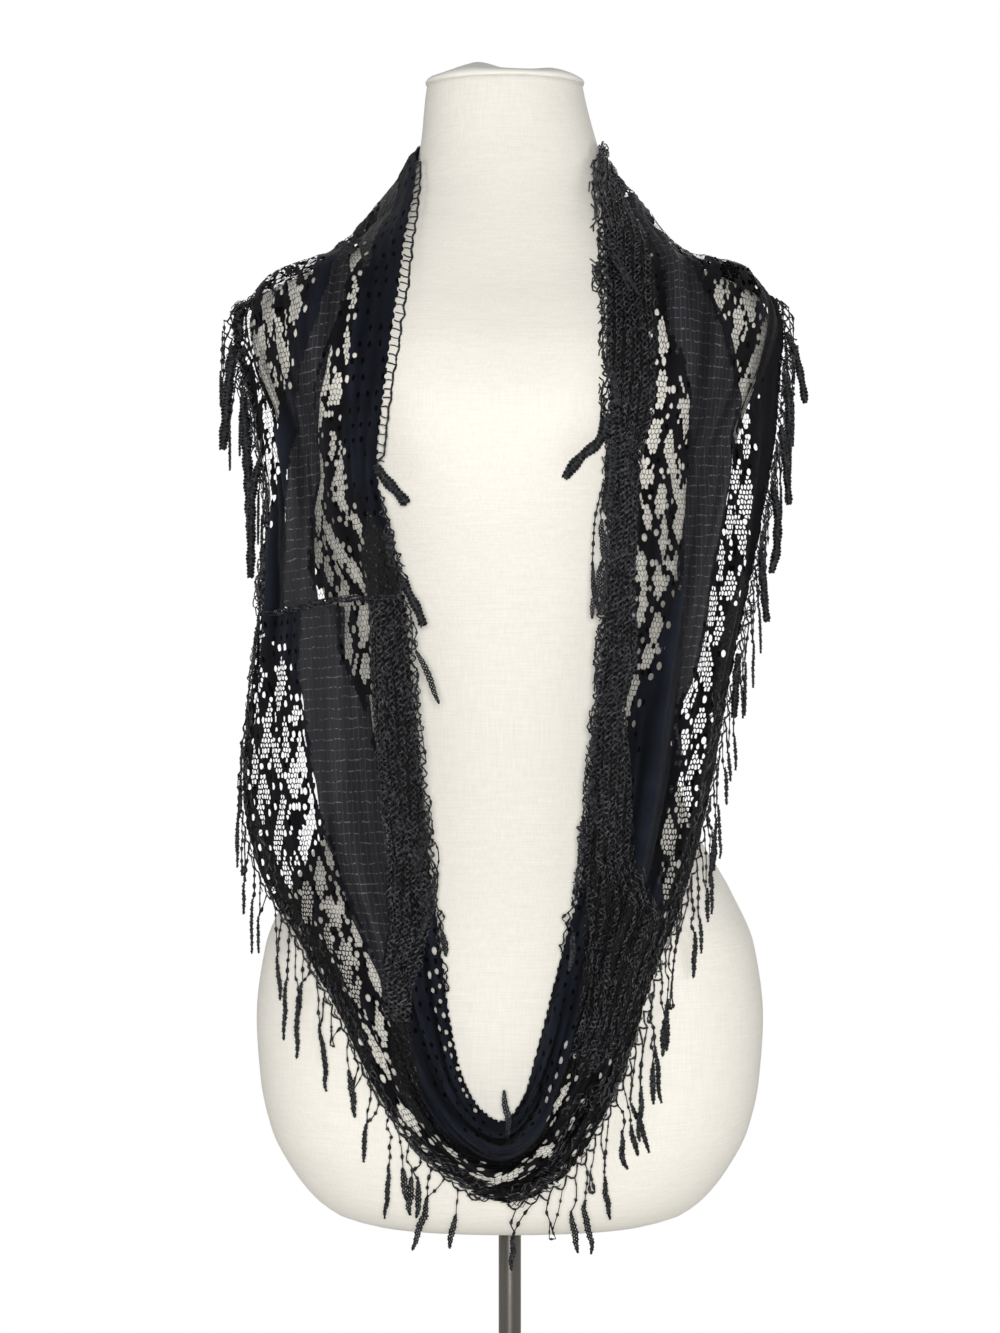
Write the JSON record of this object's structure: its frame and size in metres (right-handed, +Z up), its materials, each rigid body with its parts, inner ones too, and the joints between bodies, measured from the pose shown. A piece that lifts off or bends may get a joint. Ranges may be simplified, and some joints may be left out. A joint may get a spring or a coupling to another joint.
{
  "type": "lace infinity scarf on dress form stand",
  "caption": "Black lace infinity scarf with sheer, net and eyelet bands and tasselled fringe, draped over a limbless linen dress form on a pole with a round base.",
  "frame": {"origin": "middle of the flat underside of the round base", "axes": "+Z up; the dress form and the scarf's hanging loop face -Y; +X is to the viewer's right"},
  "size_m": [0.4164, 0.35, 1.5695],
  "materials": {
    "form_linen": "cream linen cover, plain weave with slubs, matte",
    "neck_cover": "cream linen cap, softly rumpled, matte",
    "scarf_lace": "black and navy-black warp-knitted lace with sheer and net bands, soft sheen",
    "fringe_yarn": "black twisted yarn with leaf tassels, slight sheen",
    "seam_yarn": "black overlocked selvedges, matte",
    "pole_steel": "dark grey satin lacquered steel tube",
    "base_steel": "dark grey powder-coated steel plate"
  },
  "bodies": {
    "root": {"base": "base_steel", "pole": "pole_steel", "dress_form": "form_linen", "neck_cap": "neck_cover", "scarf_back": "scarf_lace", "scarf_left_upper": "scarf_lace", "scarf_left_lower": "scarf_lace", "scarf_bottom": "scarf_lace", "scarf_right_lower": "scarf_lace", "scarf_right_upper": "scarf_lace", "join_seam": "seam_yarn", "ladder_edge": "fringe_yarn", "fringe_outer_left": "fringe_yarn", "fringe_outer_right": "fringe_yarn", "fringe_back": "fringe_yarn", "fringe_inner_left": "fringe_yarn", "fringe_inner_right": "fringe_yarn"}
  },
  "joints": []
}
